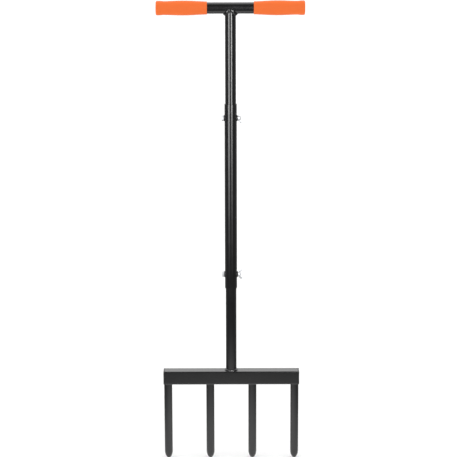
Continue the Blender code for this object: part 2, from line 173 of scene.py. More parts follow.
class AERATOR_PG_stage(bpy.types.PropertyGroup):
    """The floor, the lights and the camera."""
    floor_color: hex_color("Floor", "Color of the floor", "#f2f2f2")
    fill: plain("Fill", "Brightness of the even light from all round on matt surfaces", 1.34, 2.0)
    front: plain("Front", "Brightness of the strips to matt surfaces", 0.06, 10.0)
    strip_distance: metres("Strip distance", "Distance of the strip lights from the pole", 1.2)
    strip_foot: metres("Strip foot", "Height of the strips' lower edge above the floor", 0.15)
    strip_top: metres("Strip top", "Height of the strips' upper edge above the floor", 1.54)
    left_angle: degrees("Left strip", "Where the left strip stands, from straight in front", -33)
    left_width: metres("Left width", "Width of the left strip", 0.58)
    left_full: metres("Left full", "Height at which the left strip is at its full brightness", 0.65)
    left_brightness: plain("Left brightness", "Brightness of the left strip in reflections", 5.5)
    right_angle: degrees("Right strip", "Where the right strip stands, from straight in front", 22)
    right_width: metres("Right width", "Width of the right strip", 0.36)
    right_full: metres("Right full", "Height at which the right strip is at its full brightness", 0.9)
    right_brightness: plain("Right brightness", "Brightness of the right strip in reflections", 10.0)
    camera_distance: metres("Camera distance", "Distance of the camera from the pole", 3.5)
    camera_height: metres("Camera height", "Height of the camera above the floor", 1.233)
    camera_tilt: degrees("Camera tilt", "How far the camera looks down", 11.9)
    lens: plain("Lens", "Focal length in millimetres on a 36 mm sensor", 136.7, 500.0)


def add_node(tree, kind, inputs=(), out=0, **settings):
    """Adds a node with its settings, fills its inputs with values or sockets, and returns one of its outputs.

    A kind without Node in its name is a shader node's. The inputs are a dictionary by name or number, or a
    row in the node's own order.
    """
    node = tree.nodes.new(kind if "Node" in kind else f"ShaderNode{kind}")
    for name, value in settings.items():
        setattr(node, name, value)
    for key, value in inputs.items() if isinstance(inputs, dict) else enumerate(inputs):
        if isinstance(value, bpy.types.NodeSocket):
            tree.links.new(value, node.inputs[key])
        else:
            node.inputs[key].default_value = value
    return node.outputs[out] if node.outputs else node


def new_material(name):
    """An empty material, with what adds a node to it and the position in the piece's own space."""
    material = bpy.data.materials.new(name)
    material.use_nodes = True
    material.node_tree.nodes.clear()
    add = partial(add_node, material.node_tree)
    return material, add, add("TexCoord", out="Object")


NOISE_SPAN = (0.3, 0.7)  # most of a noise lies between these
COAT_PATCH = 30 * MM
GRIP_PATCH = 22 * MM
PLASTIC_PATCH = 9 * MM
ZINC_SCRATCH = 0.4 * MM  # coarser than the real marks, which are too fine to show


def finish_with(material, add, color, tone, tones, roughness, bump, depth, shader):
    """Closes a material. Its color runs between two strengths with the tone, over a bump of that depth."""
    shades = {end: (*(strength * c for c in color), 1) for end, strength in zip("AB", tones)}
    tint = add("Mix", {"Factor": tone, **shades}, out="Result", data_type="RGBA")
    normal = add("Bump", {"Strength": 1.0, "Distance": depth, "Height": bump})
    surface = add("BsdfPrincipled", {"Base Color": tint, "Roughness": roughness, "Normal": normal, **shader})
    add("OutputMaterial", {"Surface": surface})
    return material


def powder_coat(finishes):
    """Baked black polyester powder on steel. Slow waves bend its highlights, and its gloss is uneven."""
    material, add, place = new_material("black powder coat")
    patches = add("TexNoise", {"Vector": place, "Scale": 1 / COAT_PATCH, "Detail": 3.0})
    gloss = add("MapRange", (patches, *NOISE_SPAN, 0.17, 0.23))
    peel = add("TexNoise", {"Vector": place, "Scale": 1 / finishes.peel, "Detail": 2.0, "Roughness": 0.45})
    return finish_with(
        material, add, finishes.coat, patches, (1, 1.25), gloss, peel, 0.006 * MM, {"IOR": 1.6}
    )


def soft_grip(finishes):
    """Dip-moulded orange PVC. It is evenly colored and satin, with the fine grain of its mould."""
    material, add, place = new_material("orange soft grip")
    clouds = add("TexNoise", {"Vector": place, "Scale": 1 / GRIP_PATCH, "Detail": 2.0})
    gloss = add("MapRange", (clouds, *NOISE_SPAN, 0.62, 0.72))
    grain = add("TexNoise", {"Vector": place, "Scale": 1 / finishes.grip_grain, "Detail": 3.0})
    shader = {"IOR": 1.2, "Sheen Weight": 0.15}
    return finish_with(material, add, finishes.grip, clouds, (0.95, 1), gloss, grain, 0.02 * MM, shader)


def moulded_plastic(finishes):
    """Black polyethylene from a spark-eroded mould. It is duller than the coat, and finely grained."""
    material, add, place = new_material("black moulded polyethylene")
    clouds = add("TexNoise", {"Vector": place, "Scale": 1 / PLASTIC_PATCH, "Detail": 2.0})
    grain = add("TexVoronoi", {"Vector": place, "Scale": 1 / finishes.plastic_grain}, feature="SMOOTH_F1")
    return finish_with(
        material, add, finishes.plastic, clouds, (1, 1.4), 0.45, grain, 0.03 * MM, {"IOR": 1.51}
    )


def zinc_plate(finishes):
    """Bright zinc plate on steel, whitened by its passivation. It mirrors softly, and unevenly in patches."""
    material, add, place = new_material("bright zinc plate")
    spangle = add("TexVoronoi", {"Vector": place, "Scale": 1 / finishes.zinc_spangle}, out="Color")
    tone = add("SeparateColor", (spangle,))
    gloss = add("MapRange", (tone, 0.0, 1.0, 0.4, 0.5))
    scratches = add("TexNoise", {"Vector": place, "Scale": 1 / ZINC_SCRATCH, "Detail": 3.0})
    return finish_with(
        material, add, finishes.zinc, tone, (0.85, 1), gloss, scratches, 0.01 * MM, {"Metallic": 0.75}
    )


FINISHES = {
    "black_coat": powder_coat,
    "orange_grip": soft_grip,
    "black_plastic": moulded_plastic,
    "zinc": zinc_plate,
}
made_finishes = {}


def finish_of(node):
    """The material of a CAD node's slot, made once."""
    slot = SLOT_OF[node]
    if slot not in made_finishes:
        made_finishes[slot] = FINISHES[slot](bpy.context.scene.aerator_finishes)
    return made_finishes[slot]


def new_object(name, data):
    """A new object in the scene."""
    made = bpy.data.objects.new(name, data)
    bpy.context.scene.collection.objects.link(made)
    return made


def mesh_of(bm, name):
    """A new mesh from a bmesh, which is freed."""
    mesh = bpy.data.meshes.new(name)
    bm.to_mesh(mesh)
    bm.free()
    return mesh


def skin(name, rings, cyclic=False, capped=True, marks=None):
    """A closed skin over rings of equal count. Marks hold named numbers for every point, ring by ring."""
    bm = bmesh.new()
    marks = marks or {}
    for mark in marks:
        bm.verts.layers.float.new(mark)
    loops = [[bm.verts.new(point) for point in ring] for ring in rings]
    for mark, rows in marks.items():
        layer = bm.verts.layers.float[mark]
        for loop, row in zip(loops, rows):
            for vert, value in zip(loop, row):
                vert[layer] = value
    for low, high in zip(loops, loops[1:] + loops[:1] if cyclic else loops[1:]):
        for i in range(len(low)):
            j = (i + 1) % len(low)
            bm.faces.new((low[i], low[j], high[j], high[i]))
    if capped and not cyclic:
        bm.faces.new(loops[0])
        bm.faces.new(loops[-1])
    bmesh.ops.remove_doubles(bm, verts=bm.verts, dist=MERGE)
    bmesh.ops.recalc_face_normals(bm, faces=bm.faces)
    return mesh_of(bm, name)


def circle(radius, height, segments):
    """Points round Z. The radius may be a function of the angle."""
    points = []
    for i in range(segments):
        angle = tau * i / segments
        reach = radius(angle) if callable(radius) else radius
        points.append((reach * cos(angle), reach * sin(angle), height))
    return points


def turned(name, profile, segments, closed=False):
    """A solid turned about Z from (radius, height) points, from pole to pole or as a closed ring."""
    return skin(name, [circle(radius, height, segments) for radius, height in profile], closed, False)


def arc(center, radius, start, turn, steps=ARC_STEPS):
    """Points on an arc in a plane. The angles are in degrees."""
    angles = [radians(start + turn * i / steps) for i in range(steps + 1)]
    return [(center[0] + radius * cos(a), center[1] + radius * sin(a)) for a in angles]


def between(first, second, share):
    return first + (second - first) * share


def spread(low, high, count):
    """That many numbers from low to high, both included."""
    return [between(low, high, i / (count - 1)) for i in range(count)]


def evaluated(mesh, modifiers):
    """The plain mesh that a list of (kind, settings) modifiers makes of a mesh."""
    source = new_object("source", mesh)
    helpers = [source]
    for kind, settings in modifiers:
        modifier = source.modifiers.new(kind, kind)
        for key, value in settings.items():
            if isinstance(value, bpy.types.Mesh):
                value = new_object("cutter", value)
                helpers.append(value)
            if hasattr(modifier, key):
                setattr(modifier, key, value)
            else:
                modifier[key] = value
    bpy.context.view_layer.update()
    depsgraph = bpy.context.evaluated_depsgraph_get()
    made = bpy.data.meshes.new_from_object(source.evaluated_get(depsgraph), depsgraph=depsgraph)
    for helper in helpers:
        bpy.data.objects.remove(helper)
    return made


def less(mesh, cutters):
    """A mesh with others cut out of it."""
    return evaluated(mesh, [
        ("BOOLEAN", {"operation": "DIFFERENCE", "solver": "EXACT", "object": cutter}) for cutter in cutters
    ])


def through_tree(mesh, build, inputs):
    """The plain mesh that a Geometry Nodes tree, built once, makes of a mesh. Inputs go by their names."""
    name = build.__name__.replace("_", " ")
    tree = bpy.data.node_groups.get(name) or build(name)
    sockets = {
        item.name: item.identifier for item in tree.interface.items_tree
        if item.item_type == "SOCKET" and item.in_out == "INPUT"
    }
    settings = {"node_group": tree, **{sockets[label]: value for label, value in inputs.items()}}
    return evaluated(mesh, [("NODES", settings)])


def new_tree(name, **kinds):
    """Starts a Geometry Nodes tree. Returns what adds a node to it, and the sockets of its named inputs."""
    tree = bpy.data.node_groups.new(name, "GeometryNodeTree")
    tree.interface.new_socket("Geometry", in_out="OUTPUT", socket_type="NodeSocketGeometry")
    for kind, labels in {"Geometry": ["Geometry"], **kinds, "Material": ["Material"]}.items():
        for label in labels:
            tree.interface.new_socket(label, in_out="INPUT", socket_type=f"NodeSocket{kind}")
    add = partial(add_node, tree)
    return add, add("NodeGroupInput").node.outputs


def pushed(add, given, direction, amount):
    """The tree's geometry with each point moved along its direction."""
    offset = add("VectorMath", {0: direction, "Scale": amount}, operation="SCALE")
    return add("GeometryNodeSetPosition", {"Geometry": given["Geometry"], "Offset": offset})


def close_tree(add, given, geometry):
    """Ends a tree: instances made real, the finish set, and the output. Returns the tree."""
    real = add("GeometryNodeRealizeInstances", (geometry,))
    finished = add("GeometryNodeSetMaterial", {"Geometry": real, "Material": given["Material"]})
    return add("NodeGroupOutput", (finished,)).id_data


def tine_row(name):
    """Sets copies of one tine in a row."""
    add, given = new_tree(name, Int=["Count"], Vector=["First", "Step"])
    line = add("GeometryNodeMeshLine", {
        "Count": given["Count"], "Start Location": given["First"], "Offset": given["Step"],
    }, mode="OFFSET")
    row = add("GeometryNodeInstanceOnPoints", {"Points": line, "Instance": given["Geometry"]})
    return close_tree(add, given, row)


BEAD_MARKS = ("along", "arch")
RIPPLE_SKEW = 0.6  # below 1, a ripple rises faster than it falls


def weld_ripples(name):
    """Raises a bead's face in bowed ripples that follow its path, and lets it stray a little, as by hand.

    Along runs from 0 to 1 on the path. Arch is 1 on the middle of the face and 0 at its edges.
    """
    add, given = new_tree(name, Float=("Ripples", "Ripple height", "Bow", "Lump height", "Lump size", "Seed"))
    along, arch = (
        add("GeometryNodeInputNamedAttribute", {"Name": mark}, data_type="FLOAT")
        for mark in BEAD_MARKS
    )
    path = add("Math", (along, given["Ripples"]), operation="MULTIPLY")
    ripple = add("Math", (arch, given["Bow"], path), operation="MULTIPLY_ADD")
    for operation, *number in (
        ("FRACT",), ("POWER", RIPPLE_SKEW), ("MULTIPLY", pi), ("SINE",), ("MULTIPLY", given["Ripple height"])
    ):
        ripple = add("Math", (ripple, *number), operation=operation)
    place = add("GeometryNodeInputPosition")
    scale = add("Math", (1.0, given["Lump size"]), operation="DIVIDE")
    noise = add("TexNoise", {
        "Vector": place, "W": given["Seed"], "Scale": scale, "Detail": 1.0,
    }, noise_dimensions="4D")
    stray = add("Math", (noise, 0.5), operation="SUBTRACT")
    height = add("Math", (stray, given["Lump height"], ripple), operation="MULTIPLY_ADD")
    soft = add("Math", (arch, 0.5), operation="POWER")
    kept = add("Math", (height, soft), operation="MULTIPLY")
    return close_tree(add, given, pushed(add, given, add("GeometryNodeInputNormal"), kept))


THREAD_FLANK = (0.06, 0.44)  # where a flank starts and ends, in pitches from the middle of the crest


def thread(name):
    """Sinks a right-hand V thread into a rod about Z, between two heights, and fades it out at both."""
    add, given = new_tree(name, Float=("Pitch", "Depth", "Start", "End", "Rod"))
    place = add("GeometryNodeInputPosition")
    parts = add("SeparateXYZ", (place,)).node.outputs
    angle = add("Math", (parts["Y"], parts["X"]), operation="ARCTAN2")
    turns = add("Math", (angle, tau), operation="DIVIDE")
    climb = add("Math", (parts["Z"], given["Pitch"]), operation="DIVIDE")
    screw = add("Math", (climb, turns), operation="SUBTRACT")
    fold = add("Math", (screw, 0.5), operation="PINGPONG")
    depth = add("MapRange", (fold, *THREAD_FLANK), clamp=True)
    above = add("Math", (parts["Z"], given["Start"]), operation="SUBTRACT")
    below = add("Math", (given["End"], parts["Z"]), operation="SUBTRACT")
    inside = add("Math", (above, below), operation="MINIMUM")
    fade = add("Math", (inside, given["Pitch"]), operation="DIVIDE", use_clamp=True)
    reach = add("VectorMath", (place, (1, 1, 0)), operation="MULTIPLY")
    radius = add("VectorMath", (reach,), out="Value", operation="LENGTH")
    at_skin = add("Math", (radius, given["Rod"], SINK), operation="COMPARE")
    for factor in (given["Depth"], fade, at_skin, -1.0):
        depth = add("Math", (depth, factor), operation="MULTIPLY")
    outward = add("VectorMath", (reach,), operation="NORMALIZE")
    return close_tree(add, given, pushed(add, given, outward, depth))


def add_piece(name, mesh, *nodes, sharp=SHARP_ANGLE):
    """Makes a finished piece of a mesh in place. It rides with its CAD nodes and is shown for them."""
    piece = new_object(name, mesh)
    mesh.shade_smooth()
    mesh.set_sharp_from_angle(angle=sharp)
    if not mesh.materials:
        mesh.materials.append(finish_of(nodes[0]))
    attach(piece, BODY_OF[nodes[0]])
    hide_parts(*nodes)
    return piece


def along_x(place):
    """Turns a mesh made about Z to lie along X, and sets it down."""
    return Matrix.Translation(place) @ Matrix.Rotation(pi / 2, 4, "Y")


def tube(name, radius, wall, low, high, rows=()):
    """A tube about Z with rounded rims, and extra rows on its outside and inside."""
    rim = bpy.context.scene.aerator_steel.rim
    inner = radius - wall
    rows = sorted(rows)
    profile = (
        arc((radius - rim, low + rim), rim, -90, 90)
        + [(radius, row) for row in rows]
        + arc((radius - rim, high - rim), rim, 0, 90)
        + arc((inner + rim, high - rim), rim, 90, 90)
        + [(inner, row) for row in reversed(rows)]
        + arc((inner + rim, low + rim), rim, 180, 90)
    )
    return turned(name, profile, TUBE_SEGMENTS, True)


HOLE_ROWS = 21
HOLE_ROWS_REACH = 7 * MM
COPE_FROM = 2 * MM


def rows_round(place):
    """Rows that keep the surface even where a bolt hole is cut."""
    height = BOLT_HEIGHTS[place]
    return spread(height - HOLE_ROWS_REACH, height + HOLE_ROWS_REACH, HOLE_ROWS)


def drilled(mesh, *places):
    """A tube with its bolt holes cut."""
    reach = 2 * SEAT
    profile = [(0, -reach), (HOLE_RADIUS, -reach), (HOLE_RADIUS, reach), (0, reach)]
    drills = [turned("drill", profile, SMALL_SEGMENTS) for place in places]
    for drill, place in zip(drills, places):
        drill.transform(along_x((0, 0, BOLT_HEIGHTS[place])))
    return less(mesh, drills)


class AERATOR_OT_pole(bpy.types.Operator):
    """Builds the three coated tubes of the pole"""
    bl_idname = "aerator.pole"
    bl_label = "Pole"

    def execute(self, context):
        steel = context.scene.aerator_steel
        at_lower, at_upper = rows_round("lower"), rows_round("upper")
        lower = tube("lower tube", TUBE_RADIUS, steel.tube_wall, BAR_HIGH.z - SINK, LOWER_HIGH.z, at_lower)
        add_piece("coated_lower_tube", drilled(lower, "lower"), "lower_tube")
        middle = tube(
            "middle tube", MIDDLE_RADIUS, steel.middle_wall, MIDDLE_LOW.z, MIDDLE_HIGH.z, at_lower + at_upper
        )
        add_piece("coated_middle_tube", drilled(middle, "lower", "upper"), "middle_tube")
        square_end = CROSS_HEIGHT - CROSS_RADIUS
        last_row = square_end - COPE_FROM
        upper = tube(
            "upper tube", TUBE_RADIUS, steel.tube_wall, UPPER_LOW.z, square_end, at_upper + [last_row]
        )
        for vertex in upper.vertices:
            if vertex.co.z > last_row + MERGE:
                vertex.co.z += CROSS_RADIUS - sqrt(CROSS_RADIUS**2 - vertex.co.y**2) + SINK
        add_piece("coated_upper_tube", drilled(upper, "upper"), "upper_tube")
        return {"FINISHED"}


class AERATOR_OT_cross_tube(bpy.types.Operator):
    """Builds the handle's coated cross tube"""
    bl_idname = "aerator.cross_tube"
    bl_label = "Cross tube"

    def execute(self, context):
        wall = context.scene.aerator_steel.tube_wall
        mesh = tube("cross tube", CROSS_RADIUS, wall, -CROSS_HIGH.x, CROSS_HIGH.x)
        mesh.transform(along_x((0, 0, CROSS_HEIGHT)))
        add_piece("coated_cross_tube", mesh, "cross_tube")
        return {"FINISHED"}


GRIP_INNER_RADIUS = 13.05 * MM
GRIP_NECK_RADIUS = 13.8 * MM
GRIP_NECK_AT = 87 * MM
GRIP_SWELL_FROM = 3 * MM
GRIP_FULLNESS = 1.5
GRIP_LIP_RADIUS = 14.5 * MM
GRIP_LIP_AT = 96 * MM
GRIP_END_WALL = 3 * MM
GRIP_END_ROUND = 3 * MM
GRIP_EDGE_ROUND = 0.8 * MM
GRIP_ROWS = 72
GRIP_ROWS_FROM = 1 * MM
GRIP_ROWS_SHORT = 0.5 * MM


def grip_radius(along, swelling):
    """The moulded barrel: its radius at a distance from the grip's inner end."""
    slope = (GRIP_NECK_RADIUS - GRIP_INNER_RADIUS) / GRIP_NECK_AT
    radius = GRIP_INNER_RADIUS + slope * min(along, GRIP_NECK_AT)
    swell = (along - GRIP_SWELL_FROM) / (GRIP_NECK_AT - GRIP_SWELL_FROM)
    if 0 < swell < 1:
        radius += swelling * sin(pi * swell) ** GRIP_FULLNESS
    flare = min(max((along - GRIP_NECK_AT) / (GRIP_LIP_AT - GRIP_NECK_AT), 0), 1)
    return radius + (GRIP_LIP_RADIUS - GRIP_NECK_RADIUS) * flare**2 * (3 - 2 * flare)


class AERATOR_OT_grips(bpy.types.Operator):
    """Builds the two soft grips"""
    bl_idname = "aerator.grips"
    bl_label = "Grips"

    def execute(self, context):
        swelling = context.scene.aerator_fittings.grip_swell
        length = GRIP_HIGH.x - GRIP_LOW.x
        barrel_to = length - GRIP_END_ROUND
        bore = CROSS_RADIUS + SINK
        profile = [(0, length - GRIP_END_WALL), (bore, length - GRIP_END_WALL), (bore, 0)]
        profile += arc((GRIP_INNER_RADIUS - GRIP_EDGE_ROUND, GRIP_EDGE_ROUND), GRIP_EDGE_ROUND, -90, 90)
        rows = spread(GRIP_ROWS_FROM, barrel_to - GRIP_ROWS_SHORT, GRIP_ROWS)
        profile += [(grip_radius(at, swelling), at) for at in rows]
        profile += arc((GRIP_LIP_RADIUS - GRIP_END_ROUND, barrel_to), GRIP_END_ROUND, 0, 90, 2 * ARC_STEPS)
        profile.append((0, length))
        for side, sign in SIDES.items():
            mesh = turned(f"{side} grip", profile, TUBE_SEGMENTS)
            lie = Matrix.Rotation(sign * pi / 2, 4, "Y")
            mesh.transform(Matrix.Translation((sign * GRIP_LOW.x, 0, CROSS_HEIGHT)) @ lie)
            add_piece(f"soft_{side}_grip", mesh, f"{side}_grip")
        return {"FINISHED"}


FLAT_MARGIN = 0.4 * MM


def four_times(quarter):
    """A closed outline from its first quarter, turned about the origin."""
    return [
        (x * cosine - y * sine, x * sine + y * cosine)
        for cosine, sine in ((1, 0), (0, 1), (-1, 0), (0, -1)) for x, y in quarter
    ]


def square_ring(x, half, corner):
    """A rounded square across X on the foot bar's centre line. A margin keeps its flats flat to the eye."""
    center = half - corner
    edge = center - FLAT_MARGIN
    quarter = [(half, edge)] + arc((center, center), corner, 0, 90) + [(edge, half)]
    return [(x, y, BAR_MIDDLE + z) for y, z in four_times(quarter)]


class AERATOR_OT_foot_bar(bpy.types.Operator):
    """Builds the coated square tube of the foot bar"""
    bl_idname = "aerator.foot_bar"
    bl_label = "Foot bar"

    def execute(self, context):
        steel = context.scene.aerator_steel
        end = CAP_HIGH.x - CAP_FLANGE - SINK
        inside = BAR_HALF - steel.bar_wall
        inside_corner = max(BAR_CORNER - steel.bar_wall, FLAT_MARGIN)
        rim = steel.rim
        section = [(end - rim, BAR_HALF, BAR_CORNER), (end, BAR_HALF - rim, BAR_CORNER)]
        section += [(end, inside + rim, inside_corner), (end - rim, inside, inside_corner)]
        rings = [square_ring(*place) for place in section]
        rings += [square_ring(-x, half, corner) for x, half, corner in reversed(section)]
        add_piece("coated_foot_bar", skin("foot bar", rings, True), "foot_bar")
        return {"FINISHED"}


CAP_DOME_SHARES = (0.12, 0.35, 0.6, 0.8, 0.95)
CAP_PLUG_WALL = 1.8 * MM
CAP_FIN_HEIGHT = 0.9 * MM
CAP_FIN_COUNT = 2
CAP_PLUG_CORNER = 1 * MM


class AERATOR_OT_end_caps(bpy.types.Operator):
    """Builds the two moulded caps with their ribbed plugs"""
    bl_idname = "aerator.end_caps"
    bl_label = "End caps"

    def execute(self, context):
        fittings = context.scene.aerator_fittings
        edge = fittings.cap_edge
        face = CAP_HIGH.x
        seat = face - CAP_FLANGE
        end = CAP_LOW.x
        fin = BAR_HALF - context.scene.aerator_steel.bar_wall - SINK
        body = fin - CAP_FIN_HEIGHT
        flat = BAR_HALF - edge
        stations = []
        for share in CAP_DOME_SHARES:
            dome = face - fittings.cap_crown * share**2
            stations.append((dome, flat * share, min(BAR_CORNER, flat * share / 2)))
        base = face - fittings.cap_crown - edge
        stations += [
            (base + edge * cos(a), flat + edge * sin(a), BAR_CORNER - edge + edge * sin(a))
            for a in spread(0, pi / 2, ARC_STEPS + 1)
        ]
        stations.append((seat, BAR_HALF, BAR_CORNER))
        plug = [(seat, body)]
        spacing = (seat - end) / (CAP_FIN_COUNT + 0.5)
        for number in range(CAP_FIN_COUNT):
            root = seat - spacing * (number + 0.5)
            tip = root - spacing / 2
            plug += [(root, body), (tip, fin), (tip, body)]
        pocket = body - CAP_PLUG_WALL
        plug += [(end, body), (end, pocket), (seat, pocket)]
        stations += [(x, half, CAP_PLUG_CORNER) for x, half in plug]
        for side, sign in SIDES.items():
            rings = [square_ring(sign * x, half, corner) for x, half, corner in stations]
            add_piece(f"moulded_{side}_end_cap", skin(f"{side} end cap", rings), f"{side}_end_cap")
        return {"FINISHED"}


NOSE_STEPS = 25
SHAFT_STEPS = 12
SHAFT_MARGIN = 2 * MM


class AERATOR_OT_tines(bpy.types.Operator):
    """Builds the row of coated tines"""
    bl_idname = "aerator.tines"
    bl_label = "Tines"

    def execute(self, context):
        nose = context.scene.aerator_steel.tine_nose
        quarter = spread(0, pi / 2, NOSE_STEPS)
        profile = [(TINE_RADIUS * sin(a), nose * (1 - cos(a))) for a in quarter]
        shaft = spread(nose + SHAFT_MARGIN, BAR_LOW.z - SHAFT_MARGIN, SHAFT_STEPS) + [BAR_LOW.z + SINK]
        profile += [(TINE_RADIUS, z) for z in shaft] + [(0, shaft[-1])]
        names = [f"tine_{number}" for number in range(1, TINE_COUNT + 1)]
        row = through_tree(turned("tine", profile, SMALL_SEGMENTS), tine_row, {
            "Count": TINE_COUNT, "First": (-TINE_LAST, 0.0, 0.0), "Step": (TINE_PITCH, 0.0, 0.0),
            "Material": finish_of(names[0]),
        })
        add_piece("coated_tines", row, *names)
        return {"FINISHED"}


FACE_STEPS = 15
FACE_SHARES = spread(0, 1, FACE_STEPS)[1:-1]
FACE_ARCHES = [4 * share * (1 - share) for share in FACE_SHARES]
SEAT_SHARES = (0, 0.5, 1)
RIPPLE_STEPS = 8
RIPPLE_BOW = -0.75
LUMP_SIZE = 5 * MM


def bead(name, section_at, cyclic, length, seed):
    """A rippled weld along a path.

    Section_at gives, for a share of the path, the seat from corner to toe, the top, the way out and crown.
    """
    steel = bpy.context.scene.aerator_steel
    ripples = round(length / steel.ripple_pitch)
    count = ripples * RIPPLE_STEPS
    rings, along, arch = [], [], []
    for i in range(count if cyclic else count + 1):
        seat, top, out, crown = section_at(i / count)
        face = [seat[-1].lerp(top, s) + out * (crown * bulge) for s, bulge in zip(FACE_SHARES, FACE_ARCHES)]
        rings.append(seat + face + [top])
        along.append([i / count] * len(rings[-1]))
        arch.append([0] * len(seat) + FACE_ARCHES + [0])
    mesh = skin(name, rings, cyclic, True, dict(zip(BEAD_MARKS, (along, arch))))
    return through_tree(mesh, weld_ripples, {
        "Ripples": float(ripples), "Ripple height": steel.ripple_height, "Bow": RIPPLE_BOW,
        "Lump height": steel.lump_height, "Lump size": LUMP_SIZE, "Seed": float(seed),
        "Material": finish_of("pole_weld"),
    })


def heading(angle):
    """The level direction at an angle from +X."""
    return Vector((cos(angle), sin(angle), 0))


TINE_REACH = 2.5 * MM
TINE_CROWN = 0.4 * MM
END_BEAD_REACH = radians(122)
END_BEAD_FADE = 0.06
END_BEAD_LEAST = 0.25


def tine_section(share, turn, inward, x):
    """A fillet under the bar, round a tine. Where it doesn't close, its ends run out."""
    out = heading(inward + turn * (2 * share - 1))
    fade = 1.0
    if turn < pi:
        near_end = min(share, 1 - share, END_BEAD_FADE) / END_BEAD_FADE
        fade = between(END_BEAD_LEAST, 1, sqrt(1 - (1 - near_end) ** 2))
    corner = Vector((x, 0, BAR_LOW.z + SINK)) + out * (TINE_RADIUS - SINK)
    reach = (TINE_REACH + SINK) * fade
    outward = (out - Vector((0, 0, 1))).normalized()
    return [corner, corner + out * reach], corner - Vector((0, 0, reach)), outward, TINE_CROWN * fade


class AERATOR_OT_tine_welds(bpy.types.Operator):
    """Builds the rippled welds between the tines and the foot bar"""
    bl_idname = "aerator.tine_welds"
    bl_label = "Tine welds"

    def execute(self, context):
        for number in range(1, TINE_COUNT + 1):
            x = (number - (TINE_COUNT + 1) / 2) * TINE_PITCH
            at_end = number in (1, TINE_COUNT)
            turn = END_BEAD_REACH if at_end else pi
            inward = 0 if x < 0 else pi
            length = 2 * turn * (TINE_RADIUS + TINE_REACH / 2)
            mesh = bead(
                f"tine weld {number}", lambda share: tine_section(share, turn, inward, x),
                not at_end, length, number,
            )
            add_piece(f"rippled_tine_weld_{number}", mesh, f"tine_weld_{number}")
        return {"FINISHED"}


POLE_REACH = 3 * MM
POLE_FRONT_REACH = 2.6 * MM
POLE_RISE = 3.4 * MM
POLE_CROWN = 0.6 * MM


def pole_section(share):
    """The fillet from the pole to the bar. In front and behind it runs over the bar's rounded edge."""
    out = heading(tau * share)
    edge = BAR_HALF - BAR_CORNER
    edge_radius = BAR_CORNER - SINK
    reach = between(POLE_REACH, POLE_FRONT_REACH, out.y**2)
    seat = []
    for part in SEAT_SHARES:
        point = out * (TUBE_RADIUS - SINK + reach * part)
        turn = max(abs(point.y) - edge, 0) / edge_radius
        if turn:
            point.y = copysign(edge + edge_radius * sin(turn), point.y)
        point.z = BAR_HIGH.z - BAR_CORNER + edge_radius * cos(turn)
        seat.append(point)
    top = seat[0] + Vector((0, 0, POLE_RISE))
    return seat, top, (out + Vector((0, 0, 1))).normalized(), POLE_CROWN


HANDLE_REACH = 4 * MM
HANDLE_FLUSH_REACH = 3.2 * MM
HANDLE_DROP = 4.2 * MM
HANDLE_FLUSH_DROP = 5.2 * MM
HANDLE_CROWN = 0.5 * MM
HANDLE_FLUSH_CROWN = 1.5 * MM
POLE_SEED = 11
HANDLE_SEED = 12


def handle_section(share):
    """The fillet along the saddle curve under the cross tube, fullest where the two tubes are flush."""
    out = heading(tau * share)
    stem = TUBE_RADIUS - SINK
    rod = CROSS_RADIUS - SINK
    flush = out.y**2
    around = asin(stem * out.y / rod)
    away = Vector((out.x / cos(around), out.y)).normalized()
    reach = between(HANDLE_REACH, HANDLE_FLUSH_REACH, flush)
    seat = []
    for part in SEAT_SHARES:
        turn = around + away.y * reach * part / rod
        x = stem * out.x + away.x * reach * part
        seat.append(Vector((x, rod * sin(turn), CROSS_HEIGHT - rod * cos(turn))))
    top = seat[0] - Vector((0, 0, between(HANDLE_DROP, HANDLE_FLUSH_DROP, flush)))
    normal = Vector((0, sin(around), -cos(around)))
    return seat, top, (out + normal).normalized(), between(HANDLE_CROWN, HANDLE_FLUSH_CROWN, flush)


class AERATOR_OT_pole_welds(bpy.types.Operator):
    """Builds the rippled welds at the foot bar and at the handle"""
    bl_idname = "aerator.pole_welds"
    bl_label = "Pole welds"

    def execute(self, context):
        length = tau * (TUBE_RADIUS + POLE_REACH / 2)
        welds = (("pole", pole_section, POLE_SEED), ("handle", handle_section, HANDLE_SEED))
        for end, section, seed in welds:
            mesh = bead(f"{end} weld", section, True, length, seed)
            add_piece(f"rippled_{end}_weld", mesh, f"{end}_weld")
        return {"FINISHED"}


HEAD_ACROSS_FLATS = 10 * MM
HEAD_HEIGHT = 4 * MM
HEAD_FLAT_RADIUS = 4.6 * MM
HEAD_CHAMFER = radians(30)
HEAD_SHARES = (0.1, 0.4, 0.7, 0.8, 0.84, 0.88, 0.92, 0.96, 1)
HEAD_BLUNT = 1.145  # the corners' reach over the flats', 1.155 if they were sharp
HEAD_EDGE = 0.2 * MM
HEAD_SEAT_SHARE = 0.97
THREAD_LENGTH = 18 * MM
THREAD_ROW = 0.1 * MM
THREAD_SHARP_ANGLE = radians(24)
TIP_CHAMFER = 0.4 * MM
TIP_RADIUS = 2.1 * MM


def hexagon(share):
    """The radius of a bolt's head by angle, at a share of its width. Its corners are a touch blunt."""
    apothem = share * HEAD_ACROSS_FLATS / 2
    return lambda angle: min(apothem / cos(angle % (pi / 3) - pi / 6), apothem * HEAD_BLUNT)


def threaded(blank, rod, start, end):
    """A zinc blank about Z, with its thread cut between two heights wherever its radius is the rod's."""
    fittings = bpy.context.scene.aerator_fittings
    return through_tree(blank, thread, {
        "Pitch": fittings.thread_pitch, "Depth": fittings.thread_depth, "Start": start, "End": end,
        "Rod": rod, "Material": finish_of("upper_bolt"),
    })


